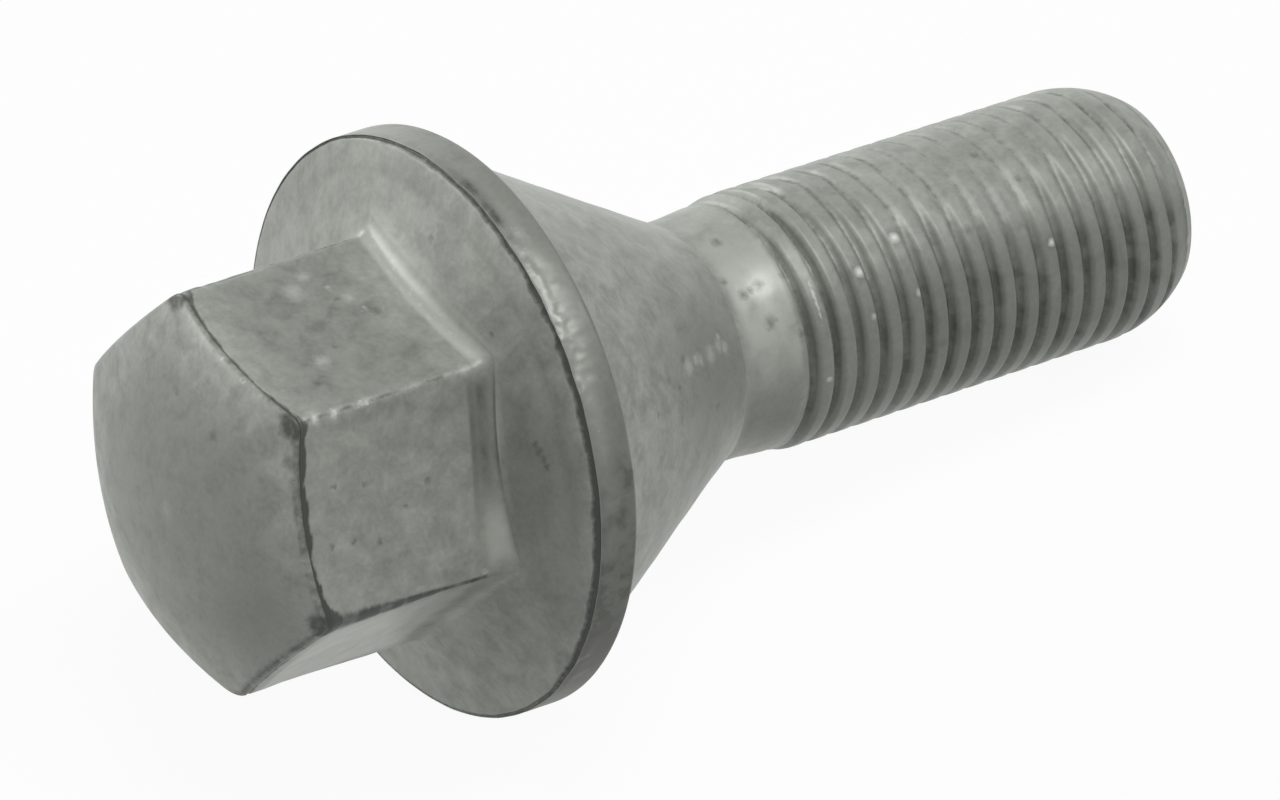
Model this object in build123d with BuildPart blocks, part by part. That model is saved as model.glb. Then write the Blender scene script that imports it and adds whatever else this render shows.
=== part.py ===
from build123d import *

import math
import os

# Wheel bolt: one steel forging with a domed hexagon head, a round flange, a conical seat that centres the wheel,
# a short plain shank and a threaded end. It lies as it rests on a table, on the flange's rim and the thread's
# point, with the head towards -X. Millimetres and degrees.

# Hexagon head
HEX_ACROSS_FLATS = 18.8  # a 19 mm socket goes over it
HEX_LENGTH = 13.2  # from the rim's front edge to where the dome cuts the hexagon's corners
DOME_RADIUS = 23.6
HEX_EDGE_ROUND = 0.6
DOME_EDGE_ROUND = 0.3
HEX_FOOT_FILLET = 1.2

# Flange
FLANGE_OVERHANG = 4.65  # from the hexagon's corners out to the rim
FLANGE_SLOPE = 21.0  # the front face's fall towards the rim
RIM_WIDTH = 2.3
RIM_ROUND = 0.35

# Conical seat
SEAT_LEDGE = 1.15  # flat ring on the flange's back, outside the cone
SEAT_ANGLE = 60.0  # included
NECK_FILLET = 1.2

# Shank and thread, M14 x 1.5 right-hand
SHANK_DIAMETER = 13.0
SHANK_LENGTH = 3.8  # from the cone's end to the thread's run-out
RUN_OUT = 1.0
THREAD_DIAMETER = 13.85
THREAD_LENGTH = 21.3
THREAD_PITCH = 1.5
GROOVE_DEPTH = 0.8
CREST_WIDTH = 0.3
ROOT_WIDTH = 0.25
GROOVE_TURN = 78.0  # round from the upper flat to where the groove gets its full depth
GROOVE_LEAD = 0.3  # from there to the run-out
GROOVE_FLARE = 35.0  # how steeply the groove fades out in the shank
POINT_LENGTH = 4.1
POINT_DROP = 1.375  # how far the end of the point is under the crests

# Distances from the bolt's axis
hex_corner_radius = HEX_ACROSS_FLATS / math.sqrt(3)
flange_radius = hex_corner_radius + FLANGE_OVERHANG
seat_radius = flange_radius - SEAT_LEDGE
shank_radius = SHANK_DIAMETER / 2
thread_radius = THREAD_DIAMETER / 2
point_radius = thread_radius - POINT_DROP

# Places along the axis, counted from the rim's front edge towards the head
dome_centre = HEX_LENGTH - math.sqrt(DOME_RADIUS**2 - hex_corner_radius**2)
face_peak = flange_radius * math.tan(math.radians(FLANGE_SLOPE))  # the front face carried on to the axis
rim_back = -RIM_WIDTH
seat_end = rim_back - (seat_radius - shank_radius) / math.tan(math.radians(SEAT_ANGLE / 2))
run_out_start = seat_end - SHANK_LENGTH
thread_start = run_out_start - RUN_OUT
thread_end = thread_start - THREAD_LENGTH
point_end = thread_end - POINT_LENGTH
groove_start = run_out_start + GROOVE_LEAD

# The point's profile is an arc that leaves the crests smoothly
point_round = (POINT_LENGTH**2 + POINT_DROP**2) / (2 * POINT_DROP)

# The table touches two rounds, the rim's back edge and the point, so the bolt's tilt is their common tangent's
rest_run = (rim_back + RIM_ROUND) - thread_end
rest_fall = (flange_radius - RIM_ROUND) - (thread_radius - point_round)
tangent_turn = math.asin((RIM_ROUND - point_round) / math.hypot(rest_run, rest_fall))
rest_tilt = math.atan2(rest_fall, rest_run) + tangent_turn
tilt_sin = math.sin(rest_tilt)
tilt_cos = math.cos(rest_tilt)
rest_height = point_round + (thread_radius - point_round) * tilt_cos - thread_end * tilt_sin

# The origin is on the table, midway along the lying bolt
dome_reach = dome_centre * tilt_cos + DOME_RADIUS
point_reach = point_radius * tilt_sin - point_end * tilt_cos
rest_shift = (dome_reach - point_reach) / 2

# The bolt's plane faces the head's way, with its X towards the upper flat. The section's plane holds the axis.
upper_side = (tilt_sin, 0, tilt_cos)
bolt_plane = Plane(origin=(rest_shift, 0, rest_height), x_dir=upper_side, z_dir=(-tilt_cos, 0, tilt_sin))
section_plane = Plane(origin=bolt_plane.origin, x_dir=upper_side, z_dir=(0, -1, 0))
bolt_axis = Axis(bolt_plane.origin, bolt_plane.z_dir)


def groove(length, towards, flare=0):
    """The thread's groove as a solid that winds towards the head (1) or the point (-1). A flare lifts it out."""
    flank_top = (THREAD_PITCH - CREST_WIDTH) / 2
    lean = (flank_top - ROOT_WIDTH / 2) / GROOVE_DEPTH
    proud = GROOVE_DEPTH / 5
    with BuildPart() as winding:
        with BuildLine() as path:
            Helix(THREAD_PITCH, length, thread_radius, direction=(0, 0, towards), cone_angle=flare)
        start = path.line @ 0
        with BuildSketch(Plane(origin=start, x_dir=(start.X, start.Y, 0), z_dir=path.line % 0)):
            Polygon(
                (proud, -flank_top - proud * lean),
                (proud, flank_top + proud * lean),
                (-GROOVE_DEPTH, ROOT_WIDTH / 2),
                (-GROOVE_DEPTH, -ROOT_WIDTH / 2),
                align=None,
            )
        sweep(is_frenet=True)
    return winding.part


with BuildPart(bolt_plane) as wheel_bolt:
    # Hexagon with a flat on top, cut by the dome
    with BuildSketch(bolt_plane):
        RegularPolygon(radius=HEX_ACROSS_FLATS / 2, side_count=6, major_radius=False, rotation=30)
    extrude(amount=dome_centre + DOME_RADIUS)
    with Locations((0, 0, dome_centre)):
        Sphere(DOME_RADIUS, mode=Mode.INTERSECT)
    fillet(wheel_bolt.edges().filter_by(bolt_axis), radius=HEX_EDGE_ROUND)
    dome = wheel_bolt.faces().filter_by(GeomType.SPHERE)[0]
    fillet(dome.edges(), radius=DOME_EDGE_ROUND)

    # Flange, seat, shank, thread and point, turned as one section
    with BuildSketch(section_plane) as section:
        with BuildLine():
            Polyline(
                (0, point_end),
                (0, face_peak),
                (flange_radius, 0),
                (flange_radius, rim_back),
                (seat_radius, rim_back),
                (shank_radius, seat_end),
                (shank_radius, run_out_start),
                (thread_radius, thread_start),
                (thread_radius, thread_end),
            )
            TangentArc((thread_radius, thread_end), (point_radius, point_end), tangent=(0, -1))
            Line((point_radius, point_end), (0, point_end))
        make_face()
        fillet(section.vertices().group_by(Axis.X)[-1], radius=RIM_ROUND)
        fillet(section.vertices().sort_by_distance((shank_radius, seat_end))[0], radius=NECK_FILLET)
    revolve(axis=bolt_axis)

    # Fillet round the hexagon's foot, where its flats and rounded corners meet the flange's front face
    front_face = wheel_bolt.faces().filter_by(GeomType.CONE).sort_by(bolt_axis)[-1]
    foot = front_face.edges().filter_by(GeomType.CIRCLE, reverse=True).filter_by(GeomType.LINE, reverse=True)
    fillet(foot, radius=HEX_FOOT_FILLET)

    # Thread: the groove turn by turn until it has left the point, and a flared end that fades out in the shank.
    # A winding towards the point starts half a turn round.
    all_turns = math.ceil((groove_start - point_end) / THREAD_PITCH)
    for turn in range(all_turns):
        with Locations(Location((0, 0, groove_start - turn * THREAD_PITCH), (0, 0, GROOVE_TURN + 180))):
            add(groove(THREAD_PITCH, -1), mode=Mode.SUBTRACT)
    fade_length = GROOVE_DEPTH / math.tan(math.radians(GROOVE_FLARE))
    with Locations(Location((0, 0, groove_start), (0, 0, GROOVE_TURN))):
        add(groove(fade_length, 1, GROOVE_FLARE), mode=Mode.SUBTRACT)

wheel_bolt.part.label = "wheel_bolt"
os.makedirs("parts", exist_ok=True)
export_step(wheel_bolt.part, "parts/wheel_bolt.step")
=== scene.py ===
import math

import bmesh
import bpy
import numpy as np
from mathutils import Euler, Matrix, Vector, noise


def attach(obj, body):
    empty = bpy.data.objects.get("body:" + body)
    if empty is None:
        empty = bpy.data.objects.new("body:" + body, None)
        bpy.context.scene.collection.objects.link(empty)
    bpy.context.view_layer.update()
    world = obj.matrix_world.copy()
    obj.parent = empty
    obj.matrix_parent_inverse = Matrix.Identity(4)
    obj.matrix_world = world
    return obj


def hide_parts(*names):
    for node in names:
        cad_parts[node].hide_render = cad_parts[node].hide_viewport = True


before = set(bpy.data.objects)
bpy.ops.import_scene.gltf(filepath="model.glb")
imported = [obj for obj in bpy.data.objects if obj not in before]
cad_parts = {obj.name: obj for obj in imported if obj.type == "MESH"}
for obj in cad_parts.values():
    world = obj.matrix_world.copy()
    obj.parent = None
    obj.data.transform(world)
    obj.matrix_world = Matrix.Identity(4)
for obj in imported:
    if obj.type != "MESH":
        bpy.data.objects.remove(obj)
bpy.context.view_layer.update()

# Wheel bolt lying on a table: a domed hexagon head, a round flange with the forging's ragged trim line round its
# front edge, a conical seat, a short bright shank and a fine right-hand thread with a rounded point.
# The bolt is shaped about its own axis in millimetres and then laid down where the solid is. "Along" is counted
# from the rim's front edge, positive towards the head. "Around" is counted in radians from the upper flat.

MM = 0.001  # in metres

# Hexagon head
HEX_FLAT = 9.4  # from the axis to each flat
HEX_LENGTH = 13.2
DOME_RADIUS = 23.6
DOME_SINK = 0.03  # how far the dome's top stays under the solid's
DOME_EDGE_ROUND = 0.3
SIDES = 6
CORNER = math.pi / SIDES  # half of a flat's turn
# Flange
FLANGE_RADIUS = 15.485
FACE_SLOPE = math.tan(math.radians(21.0))
RIM_WIDTH = 2.3
RIM_ROUND = 0.35
# Conical seat and neck
SEAT_RADIUS = 14.354
SEAT_HALF_ANGLE = math.radians(30.0)
NECK_FILLET = 1.2
# Shank, thread and point
SHANK_RADIUS = 6.5
SHANK_END = -19.45
CREST_RADIUS = 6.925
CREST_START = -21.0
POINT_START = -42.004
POINT_END = -46.104
POINT_RADIUS = 5.55
SHANK_RISE = 0.16  # how much the shank swells towards the thread
PITCH = 1.5
THREAD_DEPTH = 0.72
ROOT_HALF = 0.06
CREST_HALF = 0.32
FIRST_GROOVE = -19.9  # along, where the first groove's middle crosses FIRST_GROOVE_TURN
FIRST_GROOVE_TURN = math.radians(-40.9)
GROOVE_FADE = (-18.9, -19.9)
# Resting place of the axis
REST_TILT = math.radians(11.8958)
REST_HEIGHT = 15.5807
REST_SHIFT = -15.1235

# Points round the axis: the rim's ragged edge has the most, the head half of them, the thread a quarter
RIM_COLUMNS = 640
HEAD_COLUMNS = RIM_COLUMNS // 2
THREAD_COLUMNS = RIM_COLUMNS // 4
CORNER_CROWDING = 0.55  # how far the columns crowd towards the hexagon's corners

# What the points carry: dark laps and painted shade in creases, bare wear and painted glints, rubbed shine and painted
# highlights and reflections, coat that fills the groove, grime and painted shade, and patchy coat
MARKS = ("crease", "wear", "polish", "filling", "grime", "mottle")

# How deep each kind of wear goes, and how far the turned surfaces stay under the solid's
CHIP_DEPTH = 0.1
LAP_DEPTH = 0.13
LUMP_DEPTH = 0.14
DOME_DENTS = 0.09
FLAT_DENTS = 0.11
FACE_DENTS = 0.1
RIM_DENTS = 0.06
CONE_DENTS = 0.1
DOME_TOP_DENT = 0.04
UNDER_SOLID = 0.03
MERGE = 0.0015  # points nearer than this are one


def ramp(value, low, high):
    """0 at low, 1 at high, smooth between them."""
    part = np.clip((value - low) / (high - low), 0, 1)
    return part * part * (3 - 2 * part)


def bell(value, middle, half_width):
    return np.exp(-(((value - middle) / half_width) ** 2))


def turn_gap(a, b):
    """The turn from b to a, between minus and plus half a turn."""
    return (a - b + math.pi) % (2 * math.pi) - math.pi


def degrees_round(turn):
    """Degrees round from the upper flat, between minus and plus half a turn."""
    return np.degrees(turn_gap(turn, 0))


def near_turn(turn, middle, half_width):
    """A bell round the axis, its middle and half width in degrees."""
    return bell(turn_gap(turn, math.radians(middle)), 0, math.radians(half_width))


def grain(points, size, seed):
    """Smooth noise between about -1 and 1, with lumps of the given size."""
    offset = Vector((17.3, -9.1, 4.7)) * seed
    return np.array([noise.noise(Vector(p) / size + offset) for p in points])


def columns(count, crowding):
    """Turns of the points round a ring, crowded towards the hexagon's corners."""
    even = np.arange(count) * (2 * math.pi / count)
    return even + crowding / SIDES * np.sin(SIDES * even)


def mark(row, **marks):
    """Sets marks on a row of points."""
    for name, value in marks.items():
        row[:, 3 + MARKS.index(name)] = value
    return row


def ring(turn, radius, along, **marks):
    """Points round the axis with their marks, one row a point."""
    made = np.zeros((len(turn), 3 + len(MARKS)))
    made[:, 0] = radius * np.cos(turn)
    made[:, 1] = radius * np.sin(turn)
    made[:, 2] = along
    return mark(made, **marks)


def round_trip(turn, size, seed):
    """Noise that closes on itself round the flange."""
    places = np.stack([np.cos(turn), np.sin(turn), np.zeros_like(turn)], axis=1) * FLANGE_RADIUS
    return grain(places, size, seed)


def face_along(radius):
    """Place along the axis of the flange's sloping front face."""
    return (FLANGE_RADIUS - radius) * FACE_SLOPE


def dented(row, out, up, deep):
    """Pushes a ring's points in by the forging's dents, along a direction given as out from the axis and up it."""
    places = row[:, :3].copy()
    push = deep * (0.5 - 0.4 * grain(places, 4.0, 21) - 0.25 * grain(places, 1.2, 22))
    shrink = 1 - push * out / np.maximum(np.hypot(places[:, 0], places[:, 1]), 0.5)
    row[:, 0] *= shrink
    row[:, 1] *= shrink
    row[:, 2] -= push * up
    return row


# Hexagon's corners, counted from the one between the upper flat and the next: rounding at the dome's end and at the
# foot, the dark scale along the corner with its half widths at both ends, and the share of bright chips
CORNER_ROUND_DOME = np.array([0.9, 0.8, 1.4, 1.8, 1.2, 0.8])
CORNER_ROUND_FOOT = np.array([0.5, 0.6, 0.6, 0.6, 0.45, 0.3])
CORNER_SCALE = np.array([0.6, 0.5, 0.4, 0.6, 1.0, 0.62])
SCALE_DOME = np.array([0.14, 0.12, 0.12, 0.3, 0.48, 0.12])
SCALE_FOOT = np.array([0.1, 0.1, 0.1, 0.12, 0.13, 0.09])
CORNER_CHIPS = np.array([0.45, 0.2, 0.1, 0.3, 0.4, 0.72])
# Lap under the dome's edge on each flat, counted from the upper one: how dark, how wide, and its wedge at each corner
LAP_DARK = np.array([0.85, 0.6, 0.6, 0.6, 0.9, 1.0])
LAP_WIDTH = np.array([0.2, 0.16, 0.16, 0.16, 0.24, 0.32])
LAP_WEDGE = np.array([0.35, 0.1, 0.1, 0.4, 0.8, 0.2])
# How dark the dome's edge is over each flat's lap, the share of bright flecks on it, and how far the dark goes up
# the dome at each corner
LAP_OVER = np.array([0.2, 0.0, 0.0, 0.2, 0.75, 0.45])
LAP_FLECKS = np.array([0.62, 0.1, 0.1, 0.2, 0.3, 0.5])
DOME_WEDGE = np.array([1.1, 0.0, 0.0, 0.4, 1.2, 1.2])
LAP_DROPS = (0.05, 0.11, 0.18, 0.26, 0.35, 0.46, 0.62, 0.85)  # below the dome's edge
# Where the flats end above the foot's hollow and how far the hollow reaches on the face, by degrees round the axis
FOOT_TURN = np.array([-180, -150, -120, -95, -85, -60, -30, 0, 30, 60, 90, 120, 150, 180])
FOOT_TOP = np.array([3.2, 3.1, 3.4, 3.5, 3.65, 3.15, 2.75, 3.0, 2.6, 2.75, 2.7, 2.95, 3.0, 3.2])
FOOT_REACH = np.array([0.5, 0.5, 0.5, 0.5, 0.5, 0.5, 0.6, 0.95, 0.85, 0.6, 0.5, 0.5, 0.5, 0.5])


def nearest_corner(turn):
    """Number of the hexagon's nearest corner, the turn from it and the distance from it."""
    from_corner = turn % (2 * CORNER) - CORNER
    number = np.floor(turn / (2 * CORNER)).astype(int) % SIDES
    return number, from_corner, np.abs(from_corner) * HEX_FLAT / math.cos(CORNER)


def hexagon(turn, along):
    """Radius of the hexagon's side, and the dark scale and the bright chips along its corners."""
    from_flat = (turn + CORNER) % (2 * CORNER) - CORNER
    corner, from_corner, off = nearest_corner(turn)
    towards_dome = ramp(along, 4.5, 12.8)
    rounding = CORNER_ROUND_FOOT[corner] + (CORNER_ROUND_DOME - CORNER_ROUND_FOOT)[corner] * towards_dome
    flat = HEX_FLAT / np.cos(from_flat)
    middle = (HEX_FLAT - rounding) / math.cos(CORNER)
    aside = middle * np.sin(from_corner)
    rounded = middle * np.cos(from_corner) + np.sqrt(np.maximum(rounding**2 - aside**2, 0))
    on_round = HEX_FLAT * np.tan(np.abs(from_flat)) > (HEX_FLAT - rounding) * math.tan(CORNER)
    side = np.where(on_round, rounded, flat)
    half = SCALE_FOOT[corner] + (SCALE_DOME - SCALE_FOOT)[corner] * towards_dome
    scale = CORNER_SCALE[corner] * (1 - ramp(off, 0.5 * half, 1.5 * half))
    places = np.stack([corner * 7.0, np.zeros_like(turn), along], axis=1)
    knocked = ramp(grain(places, 0.9, 3) + 0.6 * grain(places, 0.45, 4), -0.3, 0.35)
    chip_reach = 0.28 + 0.6 * towards_dome**4
    chips = CORNER_CHIPS[corner] * knocked * (0.55 + 0.45 * towards_dome) * (1 - ramp(off, 0.08, chip_reach))
    return side - CHIP_DEPTH * chips, scale * (1 - knocked * CORNER_CHIPS[corner]), chips


def head_rings():
    """From the dome's top over its edge and down the flats to the flange's face."""
    dome_centre = HEX_LENGTH - math.sqrt(DOME_RADIUS**2 - (HEX_FLAT / math.cos(CORNER)) ** 2) - DOME_SINK
    fine = columns(HEAD_COLUMNS, CORNER_CROWDING)
    rings = [ring(np.zeros(1), 0.0, dome_centre + DOME_RADIUS - DOME_TOP_DENT)]
    degrees = degrees_round(fine)
    flat = np.floor((fine + CORNER) / (2 * CORNER)).astype(int) % SIDES
    corner, _, off_corner = nearest_corner(fine)
    trip = np.stack([fine * 10, fine * 0, fine * 0], axis=1)
    ragged = 1 + 0.55 * grain(trip, 1.1, 8) + 0.35 * grain(trip, 0.4, 9)
    flecks = LAP_FLECKS[flat] * ramp(grain(trip, 0.7, 10), 0.1, 0.4)
    wedge = DOME_WEDGE[corner] * bell(off_corner, 0, 0.8)
    wedge_dark, wedge_fade = 0.85, (0.02, 0.75)
    # Towards its middle the dome is darker, and its lower side carries painted shade.
    low = near_turn(fine, -112, 36)
    lap_width = LAP_WIDTH[flat] * np.clip(ragged, 0.3, 1.8) + LAP_WEDGE[corner] * bell(off_corner, 0, 0.7)

    top, _, top_chips = hexagon(fine, np.full(HEAD_COLUMNS, HEX_LENGTH))
    edge_middle = top - DOME_EDGE_ROUND
    edge_along = dome_centre + np.sqrt((DOME_RADIUS - DOME_EDGE_ROUND) ** 2 - edge_middle**2)
    lean = np.arctan2(edge_middle, edge_along - dome_centre)
    for share in np.linspace(0.07, 1.0, 27):
        use = slice(None) if share > 0.66 else slice(None, None, 2)
        lean_here = lean[use] * share
        over = LAP_OVER[flat[use]] * np.clip(ragged[use], 0.3, 1) * (share == 1)
        up_dome = (1 - share) * lean[use] * DOME_RADIUS
        over = np.maximum(over, wedge_dark * ramp(wedge[use] - up_dome, *wedge_fade))
        row = ring(fine[use], DOME_RADIUS * np.sin(lean_here), dome_centre + DOME_RADIUS * np.cos(lean_here),
                   crease=over, wear=flecks[use] * (share == 1), mottle=0.4,
                   grime=0.3 * (1 - ramp(share, 0.55, 1.0)) + 0.35 * low[use] * ramp(share, 0.4, 0.9))
        rings.append(dented(row, 0, 1 - ramp(share, 0.8, 1.0), DOME_DENTS))

    for part in (0.25, 0.5, 0.75, 1.0):
        bend = lean + (math.pi / 2 - lean) * part
        dark = LAP_DARK[flat] * np.maximum(0.75 * part, LAP_OVER[flat]) * np.clip(ragged, 0.5, 1)
        rings.append(ring(fine, edge_middle + DOME_EDGE_ROUND * np.sin(bend),
                          edge_along + DOME_EDGE_ROUND * np.cos(bend),
                          crease=np.maximum(dark, wedge_dark * ramp(wedge, *wedge_fade)),
                          wear=np.maximum(0.6 * top_chips, flecks * (part < 0.6))))

    for drop in LAP_DROPS:
        along = edge_along - drop
        side, scale, chips = hexagon(fine, along)
        dark = LAP_DARK[flat] * (1 - ramp(drop, 0.75 * lap_width, 1.25 * lap_width))
        rings.append(ring(fine, side - LAP_DEPTH * dark * bell(drop, 0.14, 0.12), along,
                          crease=np.maximum(dark, scale), wear=chips * (1 - dark)))

    foot_top = np.interp(degrees, FOOT_TURN, FOOT_TOP)
    # On the flats: the lower flat is lightened by painted light from the table, and a line of painted shade runs where
    # the front flat ends over its hollow; the top flat's grime is stains.
    on_top = 1 - ramp(np.abs(degrees), 26, 31)
    on_low = 1 - ramp(np.abs(degrees + 120), 24, 29)
    front_foot_shade = ramp(-degrees, 31, 36) * (1 - ramp(-degrees, 55, 80))
    front_low_highlight = ramp(-degrees, 66, 76) * (1 - ramp(-degrees, 84, 89))
    steps = np.linspace(0, 1, 38)[1:]
    for share in 0.6 * steps + 0.2 * (1 - np.cos(math.pi * steps)):
        along = (edge_along - LAP_DROPS[-1]) * (1 - share) + foot_top * share
        side, scale, chips = hexagon(fine, along)
        inside = ramp(share, 0, 0.2) * (1 - ramp(share, 0.7, 1))
        row = ring(fine, side, along, crease=scale, wear=chips, polish=0.45 * on_low * (1 - ramp(share, 0.85, 1)),
                   grime=np.maximum(0.3 * on_top * inside, 0.6 * front_foot_shade * (share > 0.98)),
                   mottle=(0.2 + 0.8 * on_top) * inside)
        rings.append(dented(row, ramp(share, 0, 0.2) * (1 - ramp(share, 0.8, 1)), 0, FLAT_DENTS))

    foot, _, _ = hexagon(fine, foot_top)
    foot_corner = face_along(foot)
    foot_end = foot + np.interp(degrees, FOOT_TURN, FOOT_REACH)
    # The foot's hollow: a painted highlight along it under the upper flat and at the lower end of the front flat, and
    # painted shade in it under the front flat.
    for part in np.linspace(0, 1, 10)[1:]:
        a, b, c = (1 - part) ** 2, 2 * part * (1 - part), part**2
        hollow = ramp(part, 0.05, 0.3) * (1 - 0.6 * ramp(part, 0.6, 1))
        rings.append(ring(fine, a * foot + b * foot + c * foot_end,
                          a * foot_top + b * foot_corner + c * face_along(foot_end),
                          wear=0.34 * on_top * hollow, polish=(0.75 * on_top + 0.6 * front_low_highlight) * hollow,
                          grime=0.75 * front_foot_shade * bell(part, 0.35, 0.4)))

    # A low ridge on the face beside the front flat's foot, with a painted highlight along it and a band of painted
    # light on the face next to the upper flat, then the face out to the trim line with painted shade on its lower
    # front side
    ridge = near_turn(fine, -48, 14)
    ridge_end = 0.24
    for reach, lift in ((0.07, 0.04), (0.14, 0.06), (ridge_end, 0.0)):
        radius = foot_end + reach
        rings.append(ring(fine, radius, face_along(radius) + lift * ridge,
                          polish=np.maximum(14 * lift * ridge, 0.3 * on_top)))
    right = near_turn(fine, -72, 28)
    for share in np.linspace(0, 1, 14)[1:]:
        radius = (foot_end + ridge_end) * (1 - share) + (FLANGE_RADIUS - TRIM_ROOM) * share
        row = ring(fine, radius, face_along(radius), grime=0.2 * right)
        rings.append(dented(row, 0, ramp(share, 0, 0.2) * (1 - ramp(share, 0.85, 1)), FACE_DENTS))
    return rings


# The trim line round the rim's front edge, by degrees round the axis: its width in millimetres, how dark its painted
# shade is, how rough the lumps beside it are, and the painted shade on the rim, darkest on its lower side
TRIM_TURN = np.array([-180, -130, -105, -75, -50, -30, -12, 0, 18, 45, 90, 180])
TRIM_WIDTH = np.array([0.14, 0.2, 0.34, 0.44, 0.44, 0.4, 0.32, 0.28, 0.3, 0.16, 0.14, 0.14])
TRIM_DARK = np.array([0.4, 0.4, 0.85, 1.0, 1.0, 0.95, 0.85, 0.8, 0.8, 0.6, 0.3, 0.4])
TRIM_LUMPS = np.array([0.05, 0.1, 0.25, 0.12, 0.55, 1.0, 0.85, 0.4, 0.25, 0.1, 0.05, 0.05])
RIM_SHADE = np.array([0.3, 1.5, 1.4, 0.85, 0.6, 0.45, 0.4, 0.4, 0.3, 0.1, 0.2, 0.3])
TRIM_HALF_MOST = 0.36
TRIM_ROOM = 1.4  # width of the ring inside the rim that the line keeps to
# Places across the line in half widths, how deep each is and how dark its painted shade is
TRIM_ACROSS = np.array([-2.0, -1.25, -0.9, -0.45, 0.0, 0.45, 0.85, 1.15])
TRIM_DEPTH = np.array([0.0, 0.0, 0.2, 0.75, 1.0, 0.8, 0.3, 0.0])
TRIM_SHADE = np.array([0.0, 0.1, 0.6, 1.0, 1.0, 1.0, 0.6, 0.0])


def rim_rings():
    """The ragged trim line, the rim with its lumps and its rounded back edge."""
    turn = columns(RIM_COLUMNS, CORNER_CROWDING)
    degrees = degrees_round(turn)
    lumps = np.interp(degrees, TRIM_TURN, TRIM_LUMPS)
    tears = 0.45 * round_trip(turn, 1.2, 11) + 0.3 * round_trip(turn, 0.5, 12)
    ragged = 1 + (0.35 + 0.65 * lumps) * tears
    half = 0.5 * np.interp(degrees, TRIM_TURN, TRIM_WIDTH) * np.clip(ragged, 0.45, 1.7)
    half = np.minimum(half, TRIM_HALF_MOST)
    dark = np.interp(degrees, TRIM_TURN, TRIM_DARK)
    grime = np.interp(degrees, TRIM_TURN, RIM_SHADE)
    wander = (0.05 + 0.12 * lumps) * (0.5 + 0.5 * round_trip(turn, 1.6, 13))
    line = FLANGE_RADIUS - UNDER_SOLID - TRIM_ACROSS[-1] * half - np.maximum(wander, 0)
    scruffy = bell(degrees, -2, 16)
    scruff = np.clip(0.6 + round_trip(turn, 0.9, 16), 0, 1) * scruffy
    rings = []
    for across, deep, shade in zip(TRIM_ACROSS, TRIM_DEPTH, TRIM_SHADE):
        radius = line + across * half
        rings.append(ring(turn, radius, face_along(radius) - deep * (0.1 + 0.6 * half), crease=shade * dark))
    edge = line + TRIM_ACROSS[-1] * half
    edge_along = face_along(edge)
    for down in (0.08, 0.18, 0.3, 0.45, 0.62, 0.82, 1.05, 1.35, 1.65, RIM_WIDTH - RIM_ROUND):
        near = 1 - ramp(down, 0.0, 0.45)
        beside = lumps * bell(down, 0.5, 0.7)
        places = ring(turn, FLANGE_RADIUS, -down)[:, :3]
        knob = np.clip(0.5 + 0.9 * grain(places, 0.75, 14) + 0.6 * grain(places, 0.35, 15), 0, 1)
        # Beside the trim line the lumps carry bare wear and a painted highlight; the rest of the rim carries painted
        # shade, darker on its lower side, and a dark smear of dirt near the top.
        row = ring(turn, edge * near + FLANGE_RADIUS * (1 - near) - 0.012 - LUMP_DEPTH * beside * (1 - knob),
                   edge_along * near - down, wear=0.6 * beside * knob, polish=0.7 * beside * (0.4 + 0.6 * knob),
                   grime=grime * (1 - 0.8 * beside) + 0.4 * scruffy * bell(down, 0.3, 0.45), mottle=0.5,
                   crease=0.85 * scruff * bell(down, 0.28, 0.24))
        rings.append(dented(row, 1 - near, 0, RIM_DENTS))
    for bend in np.radians((22.5, 45, 67.5, 90)):
        rings.append(ring(turn, FLANGE_RADIUS - UNDER_SOLID - RIM_ROUND * (1 - math.cos(bend)),
                          -RIM_WIDTH + RIM_ROUND * (1 - math.sin(bend)), grime=grime))
    return rings


# How bright the shank's rubbed band and its painted highlight are, by degrees round the axis: brightest on the side
# towards the lamps
POLISH_TURN = np.array([-180, -115, -80, -60, -38, -12, 10, 35, 90, 180])
SHANK_RUB_AND_HIGHLIGHT = np.array([0.3, 0.1, 0.1, 0.6, 0.95, 0.75, 0.35, 0.2, 0.2, 0.3])


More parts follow.
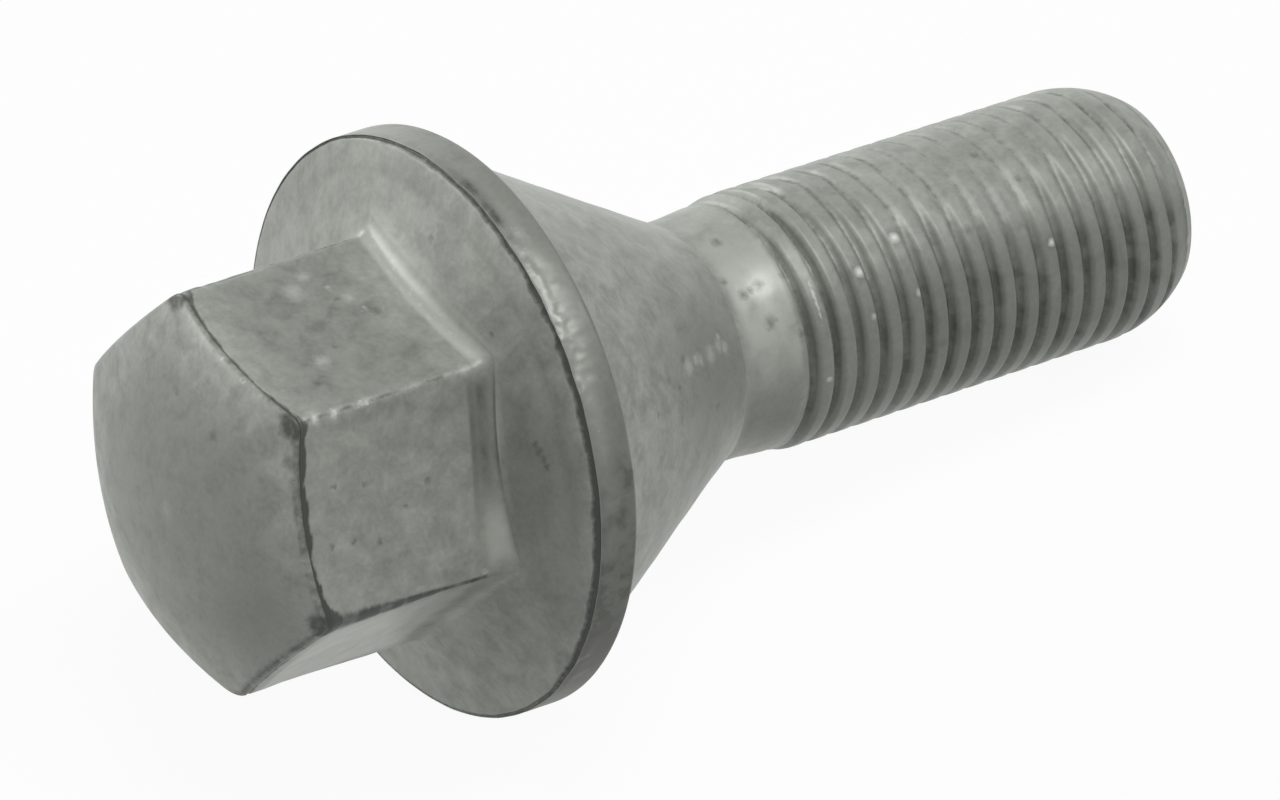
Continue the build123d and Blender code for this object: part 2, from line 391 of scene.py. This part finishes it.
def seat_rings():
    """The ledge behind the rim, the conical seat, the neck and the shank."""
    shank_along = -RIM_WIDTH - (SEAT_RADIUS - SHANK_RADIUS) / math.tan(SEAT_HALF_ANGLE)
    tangent = NECK_FILLET * math.tan(SEAT_HALF_ANGLE / 2)
    cone_end = shank_along + tangent * math.cos(SEAT_HALF_ANGLE)
    cone_end_radius = SHANK_RADIUS + tangent * math.sin(SEAT_HALF_ANGLE)
    seat = columns(HEAD_COLUMNS, CORNER_CROWDING)
    bevel = 0.06
    cone_start, cone_start_radius = -RIM_WIDTH - bevel, SEAT_RADIUS - UNDER_SOLID
    rings = [ring(seat, SEAT_RADIUS + bevel, -RIM_WIDTH), ring(seat, cone_start_radius, cone_start)]
    for share in np.linspace(0, 1, 31)[1:]:
        radius = cone_start_radius * (1 - share) + cone_end_radius * share
        along = cone_start * (1 - share) + cone_end * share
        count = THREAD_COLUMNS if share > 0.05 else HEAD_COLUMNS
        around = columns(count, CORNER_CROWDING * (1 - share))
        degrees = degrees_round(around)
        # Painted shade on the cone's lower front towards the neck, a painted reflection of the table on its lower side
        # and painted light on its upper side.
        neck_shade = bell(share, 0.8, 0.32) * bell(degrees, -56, 32)
        row = ring(around, radius, along, grime=0.5 * neck_shade, mottle=0.3 + 0.4 * neck_shade,
                   polish=np.maximum(0.35 * bell(degrees, -118, 22), 0.3 * bell(degrees, 30, 40)))
        rings.append(dented(row, ramp(share, 0, 0.15) * (1 - ramp(share, 0.85, 1)), 0, CONE_DENTS))
    turn = columns(THREAD_COLUMNS, 0)
    degrees = degrees_round(turn)
    rubbed_and_highlight = np.interp(degrees, POLISH_TURN, SHANK_RUB_AND_HIGHLIGHT)
    # Painted shade on the lower side of the neck and the shank.
    under = bell(degrees, -92, 20)
    for bend in np.linspace(SEAT_HALF_ANGLE, 0, 6)[1:]:
        rings.append(ring(turn, SHANK_RADIUS + NECK_FILLET * (1 - math.cos(bend)),
                          shank_along - tangent + NECK_FILLET * math.sin(bend), grime=0.4 * under,
                          polish=0.5 * rubbed_and_highlight * (1 - bend / SEAT_HALF_ANGLE)))
    for along in np.linspace(shank_along - tangent, SHANK_END, 14)[1:]:
        row = ring(turn, SHANK_RADIUS + SHANK_RISE * ramp(along, -17.0, SHANK_END), along, grime=0.4 * under)
        mottled = np.clip(0.85 + 0.9 * grain(row[:, :3], 1.3, 41) + 0.4 * grain(row[:, :3], 0.5, 42), 0.2, 1.1)
        past_neck = ramp(along, shank_along - 0.2, shank_along - 0.9)
        rings.append(mark(row, polish=rubbed_and_highlight * mottled * (0.6 + 0.4 * past_neck)))
    return rings


def blank_radius(along):
    """The thread's blank: up from the shank to the crests, and down again over the point's arc."""
    drop = CREST_RADIUS - POINT_RADIUS
    length = POINT_START - POINT_END
    point_round = (length**2 + drop**2) / (2 * drop)
    past = np.clip(POINT_START - along, 0, length)
    swollen = SHANK_RADIUS + SHANK_RISE
    grown = swollen + (CREST_RADIUS - swollen) * ramp(along, SHANK_END, CREST_START)
    return grown - (point_round - np.sqrt(point_round**2 - past**2))


# Rows across one pitch, from the groove's middle
GROOVE_STEPS = np.array([-0.75, -0.58, -0.5, -0.38, -0.24, -0.11, 0.0, 0.11, 0.24, 0.38, 0.5, 0.58])
HELIX_END = -45.4
RUN_OUT = -20.5  # along, where the thread is still sharp and open
# The first crest's shine is a painted glint, and the dark lines in the groove are painted shade.
FIRST_CREST = -20.68  # along, where the first crest shines
LINES_FROM = (-19.2, -20.0)  # along, where the dark lines in the groove begin
FILLED = 0.34  # share of the groove that the coat fills where little else acts on it
FILLED_MOST = 0.88
# Where the thread is rubbed flat and clogged with coat: degrees round, place along, reach in millimetres, share filled
CLOGGED = ((20, -31.0, 1.5, 0.5), (2, -32.6, 1.6, 0.7), (-25, -33.7, 1.8, 0.6), (-15, -29.5, 3.0, 0.3),
           (-30, -36.0, 3.0, 0.3), (15, -36.5, 3.0, 0.25))


def thread_grid():
    """The thread's blank, with rows that climb as the groove does, so each row keeps its place on the profile."""
    turn = np.linspace(0, 2 * math.pi, THREAD_COLUMNS + 1)
    degrees = degrees_round(turn)
    above = ramp(degrees, -50, -8)
    first = FIRST_GROOVE - PITCH * FIRST_GROOVE_TURN / (2 * math.pi)
    rows = []
    for wind in range(2, -20, -1):
        for step in GROOVE_STEPS[::-1]:
            along = first + PITCH * wind + step + PITCH * turn / (2 * math.pi)
            along = np.clip(along, HELIX_END, SHANK_END)
            if np.ptp(along) == 0 and rows and np.allclose(rows[-1][:, 2], along):
                continue
            row = ring(turn, blank_radius(along), along)
            filled = FILLED + 0.22 * grain(row[:, :3], 2.4, 31) - 0.28 * bell(along, RUN_OUT, 2.0)
            filled = filled + 0.24 * above * ramp(along, RUN_OUT, RUN_OUT - 3.0) + 0.3 * ramp(-degrees, 100, 125)
            filled = filled + 0.25 * ramp(degrees, 2, 22) * (1 - ramp(degrees, 120, 170))
            clogged = np.zeros_like(turn)
            for round_at, along_at, reach, share in CLOGGED:
                apart = np.hypot(np.radians(degrees - round_at) * CREST_RADIUS, along - along_at)
                clogged = clogged + share * bell(apart, 0, reach)
            filled = np.clip(filled + clogged, 0, FILLED_MOST)
            # Painted shade: dark lines along the groove's middle, and the lower front side darker, most in the
            # grooves; a painted glint on the first crest.
            fresh = ramp(along, *LINES_FROM)
            groove_shade_lines = (0.42 + 0.2 * above) * bell(step, 0, 0.17) * (1 + 0.5 * bell(along, RUN_OUT, 2.5)) * fresh
            groove_shade_lines = groove_shade_lines * (1 - 0.8 * np.clip(clogged, 0, 1)) * (0.75 + 0.5 * grain(row[:, :3], 0.9, 32))
            glint = bell(degrees, -40, 15) * bell(along, FIRST_CREST, 0.13)
            under = ramp(-np.abs(degrees + 80), -52, -22) * (1 - 0.4 * bell(along, -21.5, 3.5))
            grime = (0.47 + 0.5 * bell(step, 0, 0.32)) * under * fresh
            rows.append(mark(row, grime=grime, filling=filled, crease=groove_shade_lines, wear=0.85 * glint))
    return rows


def point_rings():
    """The end of the point's arc and its flat end face."""
    turn = columns(THREAD_COLUMNS, 0)
    arc = np.linspace(HELIX_END, POINT_END + 0.12, 6)
    rings = [ring(turn, blank_radius(along), along) for along in arc]
    for inset, along in ((0.06, POINT_END + 0.02), (0.2, POINT_END)):
        rings.append(ring(turn, POINT_RADIUS - inset, along))
    rings += [ring(turn, radius, POINT_END) for radius in (4.6, 3.6, 2.5, 1.4, 0.6)]
    rings.append(ring(np.zeros(1), 0.0, POINT_END))
    return rings


def skin(rings, points, faces):
    """Joins ring to ring: like with like, a ring with one of twice its points, or a ring with a single point."""
    starts = []
    for row in rings:
        starts.append(len(points))
        points.extend(row)
    for k in range(len(rings) - 1):
        (n, a), (m, b) = (len(rings[k]), starts[k]), (len(rings[k + 1]), starts[k + 1])
        for j in range(max(n, m) if n == m or 1 in (n, m) else min(n, m)):
            if n == m:
                i = (j + 1) % n
                faces.append((a + j, b + j, b + i, a + i))
            elif n == 1:
                faces.append((a, b + j, b + (j + 1) % m))
            elif m == 1:
                faces.append((a + j, b, a + (j + 1) % n))
            elif m == 2 * n:
                i, f = (j + 1) % n, (b + 2 * j, b + 2 * j + 1, b + (2 * j + 2) % m)
                faces += [(a + j, f[0], f[1]), (a + j, f[1], a + i), (a + i, f[1], f[2])]
            else:
                i, f = (j + 1) % m, (a + 2 * j, a + 2 * j + 1, a + (2 * j + 2) % n)
                faces += [(b + j, f[1], f[0]), (b + j, b + i, f[1]), (b + i, f[2], f[1])]


def blank_mesh():
    """One closed mesh of the whole bolt about its own axis, before the thread is rolled."""
    points, faces = [], []
    skin(head_rings() + rim_rings() + seat_rings(), points, faces)
    grid = thread_grid()
    for k, row in enumerate(grid):
        start = len(points)
        points.extend(row)
        if k:
            width = len(row)
            last = start - width
            faces += [(last + j, start + j, start + j + 1, last + j + 1) for j in range(width - 1)]
    skin(point_rings(), points, faces)
    points = np.array(points)
    mesh = bpy.data.meshes.new("bolt_blank")
    mesh.from_pydata(points[:, :3].tolist(), [], faces)
    for k, name in enumerate(MARKS):
        layer = mesh.attributes.new(name, "FLOAT", "POINT")
        layer.data.foreach_set("value", points[:, 3 + k].astype(np.float32))
    shape = bmesh.new()
    shape.from_mesh(mesh)
    bmesh.ops.remove_doubles(shape, verts=shape.verts, dist=MERGE)
    bmesh.ops.recalc_face_normals(shape, faces=shape.faces)
    if shape.calc_volume(signed=True) < 0:
        bmesh.ops.reverse_faces(shape, faces=shape.faces)
    for face in shape.faces:
        face.smooth = True
    shape.to_mesh(mesh)
    shape.free()
    return mesh


def add(tree, kind, inputs=None, **settings):
    """Adds a node with its settings, and fills its inputs with values or with other nodes' outputs."""
    made = tree.nodes.new(kind)
    for name, value in settings.items():
        setattr(made, name, value)
    for key, value in (inputs or {}).items():
        if isinstance(value, bpy.types.NodeSocket):
            tree.links.new(value, made.inputs[key])
        else:
            made.inputs[key].default_value = value
    return made


def linear(code):
    """An sRGB hex colour as Blender's linear colour."""
    parts = [int(code[k : k + 2], 16) / 255 for k in (1, 3, 5)]
    return tuple(p / 12.92 if p <= 0.04045 else ((p + 0.055) / 1.055) ** 2.4 for p in parts) + (1.0,)


def maths(tree, operation, *values, **settings):
    return add(tree, "ShaderNodeMath", dict(enumerate(values)), operation=operation, **settings).outputs[0]


def remap(tree, value, start=(0.0, 1.0), end=(0.0, 1.0), **settings):
    """Carries a value from one range over to another."""
    ends = {0: value, 1: start[0], 2: start[1], 3: end[0], 4: end[1]}
    return add(tree, "ShaderNodeMapRange", ends, **settings).outputs[0]


def blend(tree, share, low, high):
    """A colour between two, which are hex codes or other nodes' outputs."""
    low, high = (linear(colour) if isinstance(colour, str) else colour for colour in (low, high))
    return add(tree, "ShaderNodeMix", {0: share, 6: low, 7: high}, data_type="RGBA").outputs[2]


def own_tree(holder):
    """The emptied node tree of a material or a world."""
    holder.use_nodes = True
    holder.node_tree.nodes.clear()
    return holder.node_tree


def placed(name, data):
    """A new object in the scene."""
    made = bpy.data.objects.new(name, data)
    bpy.context.scene.collection.objects.link(made)
    return made


def thread_rolling(finish):
    """Geometry Nodes that roll the groove into the blank, lay the bolt down in its resting place and coat it."""
    tree = bpy.data.node_groups.new("roll_thread", "GeometryNodeTree")
    sizes = {"Pitch": PITCH, "Depth": THREAD_DEPTH, "Root half width": ROOT_HALF, "Crest half width": CREST_HALF,
             "Crest radius": CREST_RADIUS, "First groove": FIRST_GROOVE, "First groove turn": FIRST_GROOVE_TURN,
             "Fade from": GROOVE_FADE[0], "Fade to": GROOVE_FADE[1]}
    socket = tree.interface.new_socket
    socket("Geometry", in_out="INPUT", socket_type="NodeSocketGeometry")
    sockets = {name: socket(name, in_out="INPUT", socket_type="NodeSocketFloat") for name in sizes}
    coat = socket("Finish", in_out="INPUT", socket_type="NodeSocketMaterial")
    socket("Geometry", in_out="OUTPUT", socket_type="NodeSocketGeometry")
    given = add(tree, "NodeGroupInput").outputs

    place = add(tree, "GeometryNodeInputPosition").outputs[0]
    xyz = add(tree, "ShaderNodeSeparateXYZ", {0: place}).outputs
    across = add(tree, "ShaderNodeVectorMath", {0: place, 1: (1, 1, 0)}, operation="MULTIPLY").outputs[0]
    radius = add(tree, "ShaderNodeVectorMath", {0: across}, operation="LENGTH").outputs[1]
    turn = maths(tree, "ARCTAN2", xyz[1], xyz[0])
    # Distance from the middle of the nearest groove, which climbs one pitch a turn towards the head
    turns = maths(tree, "DIVIDE", maths(tree, "SUBTRACT", turn, given["First groove turn"]), 2 * math.pi)
    past_first = maths(tree, "SUBTRACT", xyz[2], given["First groove"])
    phase = maths(tree, "SUBTRACT", maths(tree, "DIVIDE", past_first, given["Pitch"]), turns)
    wrapped = maths(tree, "FRACT", maths(tree, "ADD", phase, 0.5))
    apart = maths(tree, "ABSOLUTE", maths(tree, "SUBTRACT", wrapped, 0.5))
    from_middle = maths(tree, "MULTIPLY", apart, given["Pitch"])
    # The groove's section: a rounded root, sloping flanks, a rounded crest
    half_pitch = maths(tree, "MULTIPLY", given["Pitch"], 0.5)
    flank_top = maths(tree, "SUBTRACT", half_pitch, given["Crest half width"])
    flank = (given["Root half width"], flank_top)
    section = remap(tree, from_middle, flank, (1.0, 0.0), interpolation_type="SMOOTHSTEP")
    fade = remap(tree, xyz[2], (given["Fade from"], given["Fade to"]), interpolation_type="SMOOTHSTEP")
    filling = add(tree, "GeometryNodeInputNamedAttribute", {"Name": "filling"}, data_type="FLOAT").outputs[0]
    open_share = maths(tree, "SUBTRACT", 1.0, filling)
    left_open = maths(tree, "MULTIPLY", maths(tree, "MULTIPLY", section, fade), open_share)
    deep = maths(tree, "MULTIPLY", left_open, given["Depth"])
    rolled = maths(tree, "SUBTRACT", given["Crest radius"], deep)
    kept = maths(tree, "MINIMUM", rolled, radius)
    shrink = maths(tree, "DIVIDE", kept, maths(tree, "MAXIMUM", radius, 0.001))
    factors = add(tree, "ShaderNodeCombineXYZ", {0: shrink, 1: shrink, 2: 1.0}).outputs[0]
    moved = add(tree, "ShaderNodeVectorMath", {0: place, 1: factors}, operation="MULTIPLY").outputs[0]
    threaded = maths(tree, "LESS_THAN", xyz[2], given["Fade from"])
    cut = add(tree, "GeometryNodeSetPosition",
              {"Geometry": given["Geometry"], "Selection": threaded, "Position": moved})
    laid_down = add(tree, "GeometryNodeTransform", {"Geometry": cut.outputs[0],
                    "Translation": Vector((REST_SHIFT, 0, REST_HEIGHT)) * MM,
                    "Rotation": Euler((0, REST_TILT - math.pi / 2, 0)), "Scale": (MM, MM, MM)})
    whole = add(tree, "GeometryNodeRealizeInstances", {"Geometry": laid_down.outputs[0]})
    coated = add(tree, "GeometryNodeSetMaterial", {"Geometry": whole.outputs[0], "Material": given["Finish"]})
    add(tree, "NodeGroupOutput", {0: coated.outputs[0]})
    values = {sockets[name].identifier: value for name, value in sizes.items()}
    values[coat.identifier] = finish
    return tree, values


# Marks on the coat: degrees round the axis, distance from it, place along it, radius of the mark. All but the first in
# millimetres. Dark ones are pits and scratches, beads are drops of coat drawn as a painted highlight, pale ones are
# chips and scuffs.
DARK_MARKS = (
    (-33.3, 6.9, -31.1, 0.3), (-78.4, 6.7, -28.3, 0.3),
    (-18.0, 6.9, -35.4, 0.2), (0.0, 6.9, -34.1, 0.24), (16.2, 6.9, -21.3, 0.2),
    (-26.8, 6.5, -17.94, 0.3), (-29.0, 6.5, -16.9, 0.28), (-28.0, 6.5, -17.4, 0.2), (-44.8, 6.5, -17.83, 0.34),
    (-26.7, 6.5, -19.4, 0.22), (-20.2, 6.5, -16.2, 0.2), (1.2, 6.5, -17.3, 0.3), (-53.5, 6.5, -19.4, 0.22),
    (-52.1, 9.49, 9.77, 0.17), (-57.3, 9.41, 6.13, 0.2), (-68.8, 9.51, 10.91, 0.15), (-71.4, 9.59, 9.34, 0.16),
    (-30.4, 10.81, 12.27, 0.2), (-67.5, 9.48, 12.23, 0.15), (-63.0, 9.42, 7.6, 0.13), (-50.0, 9.54, 11.6, 0.14),
    (1.0, 9.4, 4.66, 0.26), (-19.5, 9.97, 10.56, 0.2), (10.0, 9.54, 6.0, 0.16), (-8.0, 9.5, 8.2, 0.15),
    (-53.4, 12.19, 1.27, 0.18), (-55.2, 12.33, 1.21, 0.22), (-57.0, 12.48, 1.16, 0.2), (-58.8, 12.62, 1.1, 0.16),
    (-25.0, 11.9, 1.38, 0.16), (5.0, 12.3, 1.22, 0.2),
    (-38.4, 9.6, 13.8, 0.32), (-13.8, 6.1, 15.1, 0.25), (18.6, 6.4, 15.0, 0.22), (-136.0, 4.7, 15.5, 0.2),
    (-53.0, 10.49, -9.0, 0.2), (-56.0, 11.93, -6.5, 0.18), (-67.0, 8.41, -12.6, 0.2), (-46.0, 9.9, -10.0, 0.22),
)
BEADS = (
    (-26.3, 6.9, -26.63, 0.26), (-35.8, 6.9, -23.77, 0.26), (-49.3, 6.9, -35.85, 0.2), (-56.1, 6.8, -23.9, 0.18),
    (-52.1, 6.8, -27.0, 0.18), (-78.2, 6.8, -20.85, 0.16),
)
# A ring of painted shade round each of the first three beads, in the pits' colour.
BEAD_SHADE_RINGS = tuple(bead[:3] + (2 * bead[3],) for bead in BEADS[:3])
PALE_MARKS = (
    (-48.6, 9.74, -10.3, 0.42), (-47.4, 9.2, -11.2, 0.3), (-48.8, 8.98, -11.6, 0.24), (-48.0, 8.35, -12.7, 0.44),
    (-46.4, 7.83, -13.6, 0.34), (-43.6, 7.71, -13.8, 0.22), (-48.4, 7.54, -14.1, 0.3),
    (22.1, 10.14, 6.66, 0.34), (15.0, 9.74, 6.0, 0.2), (9.5, 9.53, 5.4, 0.3), (3.2, 9.41, 5.17, 0.16),
    (17.6, 9.86, 7.81, 0.5), (-12.0, 9.6, 9.4, 0.45),
    (-30.0, 10.75, 3.0, 0.3), (-29.6, 10.75, 12.2, 0.42), (-88.6, 10.8, 3.5, 0.26),
)

# The coat's colours: clouds, patches and flakes from dark to pale, then the rubbed band with painted highlights, grime
# and painted shade, scale in the laps and painted shade in creases, bare chips and painted glints, pits and painted
# shade round beads, scuffs and the beads' painted highlights
CLOUDS = ("#7f827b", "#9da098")
PATCHES = ("#6d716b", "#b0b4ac")
FLAKES = ("#7a7d75", "#a6a9a1")
RUBBED_AND_SHEEN = "#b4b7af"
GRIME_AND_SHADE = "#52554d"
SCALE_AND_SHADE = "#3b3e38"
BARE_AND_GLINT = "#c6c9c3"
PIT_AND_SHADE = "#4b4f47"
SCUFF = "#bcbfb9"
BEAD_HIGHLIGHT = "#d6d9d3"
# The kinds of single marks: colour, share at the middle, and how far in millimetres their borders wander
MARK_KINDS = ((DARK_MARKS, PIT_AND_SHADE, 0.7, 0.6), (PALE_MARKS, SCUFF, 0.6, 0.8), (BEAD_SHADE_RINGS, PIT_AND_SHADE, 0.6, 0.25),
              (BEADS, BEAD_HIGHLIGHT, 1.1, 0.25))


def laid(degrees, radius, along):
    """A place on the bolt, in metres where it lies."""
    turn = math.radians(degrees)
    up, side = radius * math.cos(turn), radius * math.sin(turn)
    return (MM * (REST_SHIFT + up * math.sin(REST_TILT) - along * math.cos(REST_TILT)), MM * side,
            MM * (REST_HEIGHT + up * math.cos(REST_TILT) + along * math.sin(REST_TILT)))


def zinc_flake():
    """Zinc-flake dip coat on forged steel: dull grey, faintly green, cloudy where the dip ran, dark in laps, and
    carrying the painted shade, highlights and glints that the points hold.
    """
    finish = bpy.data.materials.new("zinc_flake_coat_on_forged_steel")
    tree = own_tree(finish)
    per_mm = 1 / MM  # Object coordinates are in metres
    place = add(tree, "ShaderNodeTexCoord").outputs["Object"]

    def attribute(name):
        return add(tree, "ShaderNodeAttribute", attribute_name=name).outputs["Fac"]

    def specks(size, **more):
        """Noise with lumps of a size in millimetres."""
        return add(tree, "ShaderNodeTexNoise", {"Vector": place, "Scale": per_mm / size, **more}).outputs

    polish = attribute("polish")
    # Clouds 6 mm across where the dip ran, patches 1.3 mm across, flakes drawn at 0.3 mm so that they show
    clouds = specks(6.0, Detail=3.0)[0]
    patches = specks(1.3, Detail=5.0, Roughness=0.6, Distortion=0.3)[0]
    flakes = specks(0.3, Detail=2.0)[0]
    coat = blend(tree, remap(tree, clouds, (0.35, 0.65)), *CLOUDS)
    patch = blend(tree, remap(tree, patches, (0.32, 0.68)), *PATCHES)
    flake = blend(tree, remap(tree, flakes, (0.3, 0.7)), *FLAKES)
    coat = blend(tree, remap(tree, attribute("mottle"), end=(0.45, 1.0)), coat, patch)
    coat = blend(tree, 0.2, coat, flake)
    # Rubbed shine and painted highlights, then grime and painted shade broken up in patches
    coat = blend(tree, polish, coat, RUBBED_AND_SHEEN)
    blotchy = remap(tree, patches, (0.36, 0.64), (0.6, 1.35))
    coat = blend(tree, maths(tree, "MULTIPLY", attribute("grime"), blotchy, use_clamp=True), coat, GRIME_AND_SHADE)

    # Ragged borders: the marks are cut by noise 0.35 mm across
    rags = specks(0.35, Detail=4.0, Roughness=0.6)
    torn = maths(tree, "SUBTRACT", rags[0], 0.5)
    worn_and_glint = maths(tree, "MULTIPLY_ADD", torn, 1.3, attribute("wear"))
    creased = maths(tree, "MULTIPLY_ADD", torn, 0.9, attribute("crease"))
    drift = add(tree, "ShaderNodeVectorMath", {0: rags[1], 1: (0.5, 0.5, 0.5)}, operation="SUBTRACT").outputs[0]
    for marks, colour, share, wander in MARK_KINDS:
        drifted = {0: drift, 1: (wander / per_mm,) * 3, 2: place}
        around = add(tree, "ShaderNodeVectorMath", drifted, operation="MULTIPLY_ADD").outputs[0]
        found = 0.0
        for degrees, radius, along, size in marks:
            ends = {0: around, 1: laid(degrees, radius, along)}
            gap = add(tree, "ShaderNodeVectorMath", ends, operation="DISTANCE").outputs[1]
            found = maths(tree, "MAXIMUM", found, remap(tree, gap, (0.0, 1.5 * size / per_mm), (share, 0.0)))
        coat = blend(tree, found, coat, colour)
    # Bare chips and painted glints, then scale in the laps and painted shade in creases and groove roots
    coat = blend(tree, remap(tree, worn_and_glint, (0.42, 0.75), (0.0, 0.85)), coat, BARE_AND_GLINT)
    coat = blend(tree, remap(tree, creased, (0.18, 0.85), (0.0, 0.95)), coat, SCALE_AND_SHADE)

    rough = remap(tree, polish, end=(0.46, 0.32))
    grit = add(tree, "ShaderNodeMix", {0: 0.25, 2: patches, 3: flakes}, data_type="FLOAT").outputs[0]
    bump = add(tree, "ShaderNodeBump", {"Strength": 0.5, "Distance": 0.04 / per_mm, "Height": grit}).outputs[0]
    surface = add(tree, "ShaderNodeBsdfPrincipled",
                  {"Base Color": coat, "Roughness": rough, "Metallic": 0.15, "Normal": bump})
    add(tree, "ShaderNodeOutputMaterial", {0: surface.outputs[0]})
    return finish


def build_bolt():
    """The blank with its thread rolled, as one plain mesh."""
    blank = placed("bolt_blank", blank_mesh())
    rolling = blank.modifiers.new("roll_thread", "NODES")
    rolling.node_group, values = thread_rolling(zinc_flake())
    for identifier, value in values.items():
        rolling[identifier] = value
    bpy.context.view_layer.update()
    shown = blank.evaluated_get(bpy.context.evaluated_depsgraph_get())
    bolt = placed("wheel_bolt_forging", bpy.data.meshes.new_from_object(shown))
    bpy.data.objects.remove(blank)
    return bolt


bolt = build_bolt()
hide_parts("wheel_bolt")
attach(bolt, "root")


def seen_straight(tree):
    """1 for rays from the camera, off a shiny surface or through glass, 0 for the rest."""
    path = add(tree, "ShaderNodeLightPath").outputs
    seen = maths(tree, "MAXIMUM", path["Is Camera Ray"], path["Is Glossy Ray"])
    return maths(tree, "MAXIMUM", seen, path["Is Transmission Ray"])


# Stage: a white table, a pale surround and soft lamps
FLOOR_HALF = 3.0
FLOOR_GLOW = 0.94  # share of plain white where the table is seen, the rest takes the shadows
SURROUND_LIGHT = 0.02  # how much the surround lights the bolt
WHITE = (1, 1, 1, 1)
floor = [(-FLOOR_HALF, -FLOOR_HALF, 0), (FLOOR_HALF, -FLOOR_HALF, 0), (FLOOR_HALF, FLOOR_HALF, 0),
         (-FLOOR_HALF, FLOOR_HALF, 0)]
table_mesh = bpy.data.meshes.new("table")
table_mesh.from_pydata(floor, [], [(0, 1, 2, 3)])
table = placed("table", table_mesh)
paper = bpy.data.materials.new("white_paper_table")
tree = own_tree(paper)
matt = add(tree, "ShaderNodeBsdfDiffuse", {"Color": linear("#f2f2f2")}).outputs[0]
glow = add(tree, "ShaderNodeEmission", {"Color": WHITE, "Strength": 1.0}).outputs[0]
lit = add(tree, "ShaderNodeMixShader", {0: FLOOR_GLOW, 1: matt, 2: glow}).outputs[0]
shown = add(tree, "ShaderNodeMixShader", {0: seen_straight(tree), 1: matt, 2: lit}).outputs[0]
add(tree, "ShaderNodeOutputMaterial", {0: shown})
table_mesh.materials.append(paper)

surround = bpy.data.worlds.new("white_surround")
tree = own_tree(surround)
level = remap(tree, seen_straight(tree), end=(SURROUND_LIGHT, 1.0))
air = add(tree, "ShaderNodeBackground", {"Color": WHITE, "Strength": level}).outputs[0]
add(tree, "ShaderNodeOutputWorld", {0: air})
bpy.context.scene.world = surround

# Lamps: degrees round from the photograph's near side (0 looks along +Y), degrees up, watts
LAMP_DISTANCE = 1.5
LAMP_WIDTH = 0.7
LAMPS = (("overhead", 0, 89, 8.7), ("front_right", 60, 60, 8.5), ("low_behind", 180, 12, 7.6),
         ("behind_left", 225, 13, 7.4))
for name, azimuth, elevation, watts in LAMPS:
    lamp = bpy.data.lights.new(name, "AREA")
    lamp.shape = "DISK"
    lamp.size = LAMP_WIDTH
    lamp.energy = watts
    holder = placed(name, lamp)
    a, e = math.radians(azimuth), math.radians(elevation)
    away = Vector((math.sin(a) * math.cos(e), -math.cos(a) * math.cos(e), math.sin(e)))
    holder.location = away * LAMP_DISTANCE
    holder.rotation_euler = away.to_track_quat("Z", "Y").to_euler()
    holder.visible_camera = False

# Camera at the photograph's place, with its lens and sensor in millimetres
CAMERA_PLACE = (-0.203285, -0.286798, 0.389905)
CAMERA_TURN = (42.6565, -0.4928, -34.5796)
CAMERA_LENS = 280.02
CAMERA_SENSOR = 36.0
lens = bpy.data.cameras.new("camera")
lens.lens = CAMERA_LENS
lens.sensor_width = CAMERA_SENSOR
lens.clip_start = 0.01
camera = placed("camera", lens)
camera.location = CAMERA_PLACE
camera.rotation_euler = [math.radians(a) for a in CAMERA_TURN]
bpy.context.scene.camera = camera
bpy.context.scene.view_settings.view_transform = "Standard"
